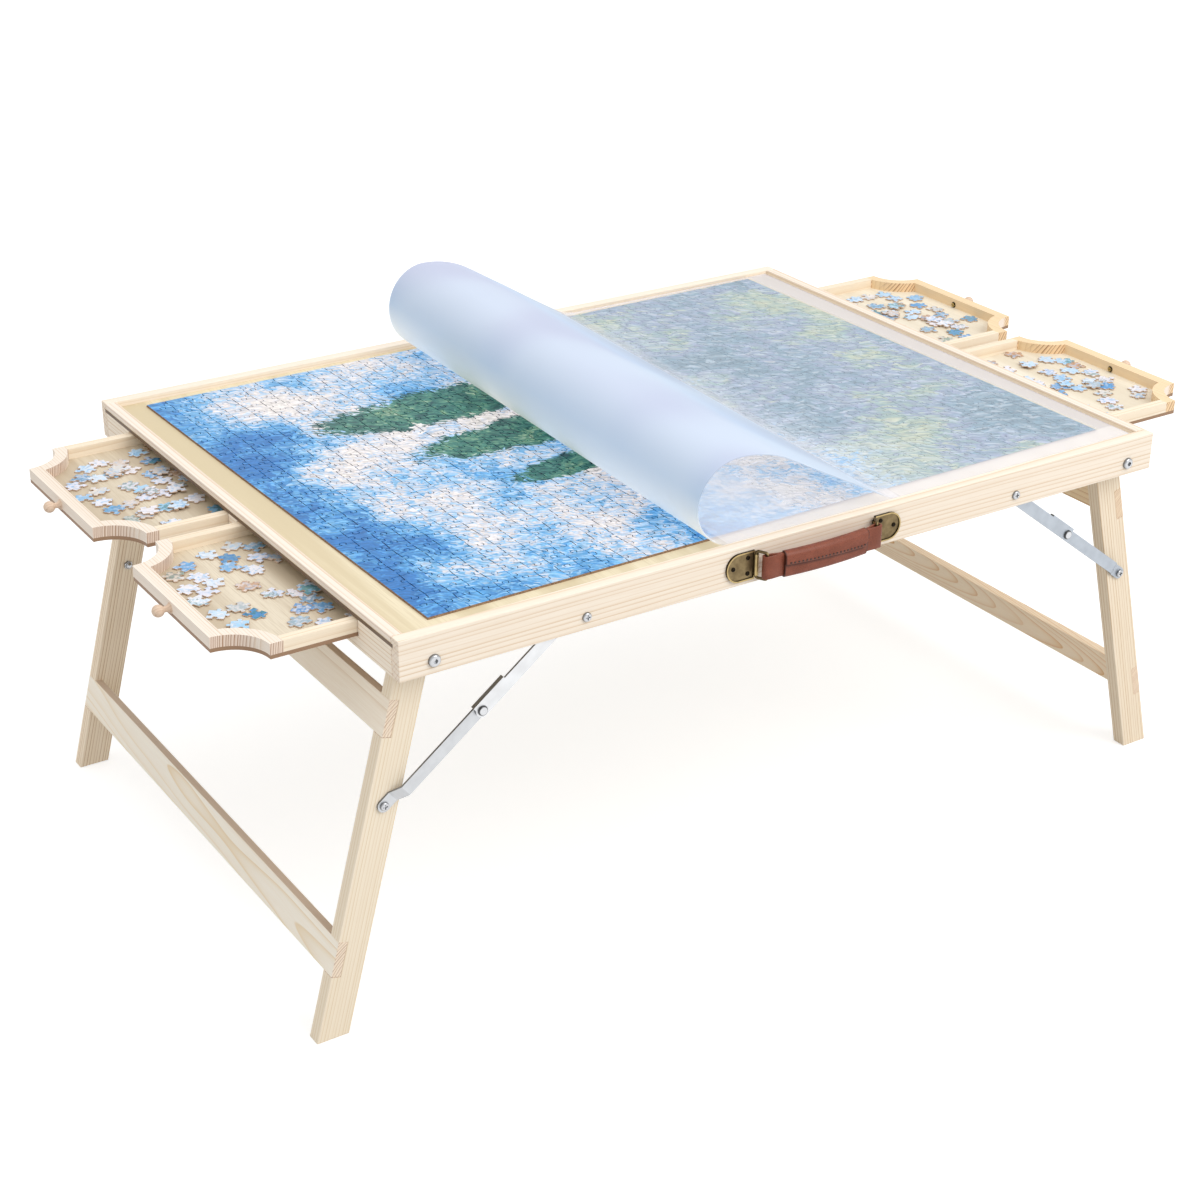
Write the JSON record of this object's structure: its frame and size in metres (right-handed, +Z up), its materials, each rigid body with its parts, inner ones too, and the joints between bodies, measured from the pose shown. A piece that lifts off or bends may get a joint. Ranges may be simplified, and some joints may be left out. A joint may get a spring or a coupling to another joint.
{
  "type": "folding jigsaw puzzle table with drawers",
  "caption": "Low folding pine jigsaw table: rimmed play board, drawers sliding out of both ends, splayed legs on folding braces, leather carry handle and a rolled-back cover sheet.",
  "frame": {"origin": "on the floor, under the middle of the whole object with its drawers as they stand open", "axes": "+X along the table's length towards the right end, -Y towards the front rail with the handle, +Z up"},
  "size_m": [1.116, 0.6438, 0.46],
  "materials": {
    "pine_rail": "pale planed pine, bare, straight grain",
    "pine_guide": "pale planed pine, bare",
    "pine_leg": "pale planed pine, bare, grain along the piece",
    "pine_drawer": "pale planed pine, end grain in the hollow corners",
    "turned_wood": "small turned knob, bare, rosy tint",
    "plywood": "thin sanded plywood with dark laser-cut edges",
    "zinc_brace": "zinc-plated strip steel, satin",
    "zinc_fastener": "zinc-plated, bright",
    "yellow_brass": "brassed screw",
    "aged_brass": "antique brass, dark in the hollows",
    "leather": "reddish brown, stitched, soft sheen",
    "printed_card": "die-cut printed card, satin, brown cut edges",
    "frosted_sheet": "frosted clear sheet"
  },
  "bodies": {
    "table": {"front_rail": "pine_rail", "rear_rail": "pine_rail", "left_end_strip": "pine_rail", "right_end_strip": "pine_rail", "left_end_rail": "pine_rail", "right_end_rail": "pine_rail", "play_board": "plywood", "centre_drawer_guide": "pine_guide", "front_drawer_guide": "pine_guide", "rear_drawer_guide": "pine_guide", "leg_pivot_bolts": "zinc_fastener", "leg_pivot_bushes": "zinc_fastener", "leg_pivot_nuts": "zinc_fastener", "brace_bolts": "zinc_fastener", "brace_bushes": "zinc_fastener", "brace_nuts": "zinc_fastener", "handle_plates": "aged_brass", "handle_screws": "aged_brass", "jigsaw_picture": "printed_card"},
    "left_legs": {"left_front_leg": "pine_leg", "left_rear_leg": "pine_leg", "left_upper_stretcher": "pine_leg", "left_lower_stretcher": "pine_leg"},
    "left_upper_braces": {"left_upper_links": "zinc_brace", "left_knee_rivets": "zinc_fastener"},
    "left_lower_braces": {"left_lower_links": "zinc_brace", "left_leg_screws": "zinc_fastener"},
    "right_legs": {"right_front_leg": "pine_leg", "right_rear_leg": "pine_leg", "right_upper_stretcher": "pine_leg", "right_lower_stretcher": "pine_leg"},
    "right_upper_braces": {"right_upper_links": "zinc_brace", "right_knee_rivets": "zinc_fastener"},
    "right_lower_braces": {"right_lower_links": "zinc_brace", "right_leg_screws": "zinc_fastener"},
    "front_left_drawer": {"front_left_drawer_front": "pine_drawer", "front_left_drawer_sides": "pine_drawer", "front_left_drawer_bottom": "plywood", "front_left_drawer_knob": "turned_wood", "front_left_drawer_knob_screw": "yellow_brass"},
    "rear_left_drawer": {"rear_left_drawer_front": "pine_drawer", "rear_left_drawer_sides": "pine_drawer", "rear_left_drawer_bottom": "plywood", "rear_left_drawer_knob": "turned_wood", "rear_left_drawer_knob_screw": "yellow_brass"},
    "front_right_drawer": {"front_right_drawer_front": "pine_drawer", "front_right_drawer_sides": "pine_drawer", "front_right_drawer_bottom": "plywood", "front_right_drawer_knob": "turned_wood", "front_right_drawer_knob_screw": "yellow_brass"},
    "rear_right_drawer": {"rear_right_drawer_front": "pine_drawer", "rear_right_drawer_sides": "pine_drawer", "rear_right_drawer_bottom": "plywood", "rear_right_drawer_knob": "turned_wood", "rear_right_drawer_knob_screw": "yellow_brass"},
    "left_ring": {"left_handle_ring": "aged_brass"},
    "right_ring": {"right_handle_ring": "aged_brass"},
    "grip": {"leather_grip": "leather"},
    "cover": {"cover_sheet": "frosted_sheet"}
  },
  "joints": [
    {"name": "left_legs_fold", "type": "hinge", "parent": "table", "child": "left_legs", "pos_m": [-0.3962, 0.00786, 0.3532], "axis": [0, -1, 0], "range_deg": [0, 104.8]},
    {"name": "left_upper_braces_turn", "type": "hinge", "parent": "table", "child": "left_upper_braces", "pos_m": [-0.2515, 0.00786, 0.3532], "axis": [0, -1, 0], "range_deg": [-37.76, 0.5]},
    {"name": "left_lower_braces_turn", "type": "hinge", "parent": "left_upper_braces", "child": "left_lower_braces", "pos_m": [-0.34293, 0.00786, 0.28365], "axis": [0, -1, 0], "range_deg": [-0.5, 180.5]},
    {"name": "right_legs_fold", "type": "hinge", "parent": "table", "child": "right_legs", "pos_m": [0.3702, 0.00786, 0.3532], "axis": [0, 1, 0], "range_deg": [0, 104.8]},
    {"name": "right_upper_braces_turn", "type": "hinge", "parent": "table", "child": "right_upper_braces", "pos_m": [0.2255, 0.00786, 0.3532], "axis": [0, 1, 0], "range_deg": [-37.76, 0.5]},
    {"name": "right_lower_braces_turn", "type": "hinge", "parent": "right_upper_braces", "child": "right_lower_braces", "pos_m": [0.31693, 0.00786, 0.28365], "axis": [0, 1, 0], "range_deg": [-0.5, 180.5]},
    {"name": "front_left_drawer_slide", "type": "slide", "parent": "table", "child": "front_left_drawer", "axis": [-1, 0, 0], "range_m": [-0.114, 0.121]},
    {"name": "rear_left_drawer_slide", "type": "slide", "parent": "table", "child": "rear_left_drawer", "axis": [-1, 0, 0], "range_m": [-0.114, 0.121]},
    {"name": "front_right_drawer_slide", "type": "slide", "parent": "table", "child": "front_right_drawer", "axis": [1, 0, 0], "range_m": [-0.14, 0.095]},
    {"name": "rear_right_drawer_slide", "type": "slide", "parent": "table", "child": "rear_right_drawer", "axis": [1, 0, 0], "range_m": [-0.14, 0.095]},
    {"name": "left_ring_swing", "type": "hinge", "parent": "table", "child": "left_ring", "pos_m": [-0.07865, -0.30544, 0.359], "axis": [0, 0, -1], "range_deg": [-10, 10]},
    {"name": "right_ring_swing", "type": "hinge", "parent": "table", "child": "right_ring", "pos_m": [0.05265, -0.30544, 0.359], "axis": [0, 0, 1], "range_deg": [-10, 10]},
    {"name": "grip_pull", "type": "slide", "parent": "table", "child": "grip", "axis": [0, -1, 0], "range_m": [-0.001, 0.001]},
    {"name": "cover_lift", "type": "slide", "parent": "table", "child": "cover", "axis": [0, 0, 1], "range_m": [0, 0.15]}
  ],
  "couplings": [
    {"joint": "left_upper_braces_turn", "follows": "left_legs_fold", "ratio": -0.35555},
    {"joint": "left_lower_braces_turn", "follows": "left_legs_fold", "ratio": 1.7176},
    {"joint": "right_upper_braces_turn", "follows": "right_legs_fold", "ratio": -0.35555},
    {"joint": "right_lower_braces_turn", "follows": "right_legs_fold", "ratio": 1.7176},
    {"joint": "right_ring_swing", "follows": "left_ring_swing", "ratio": 1},
    {"joint": "grip_pull", "follows": "left_ring_swing", "m_per_rad": 0.005164}
  ]
}
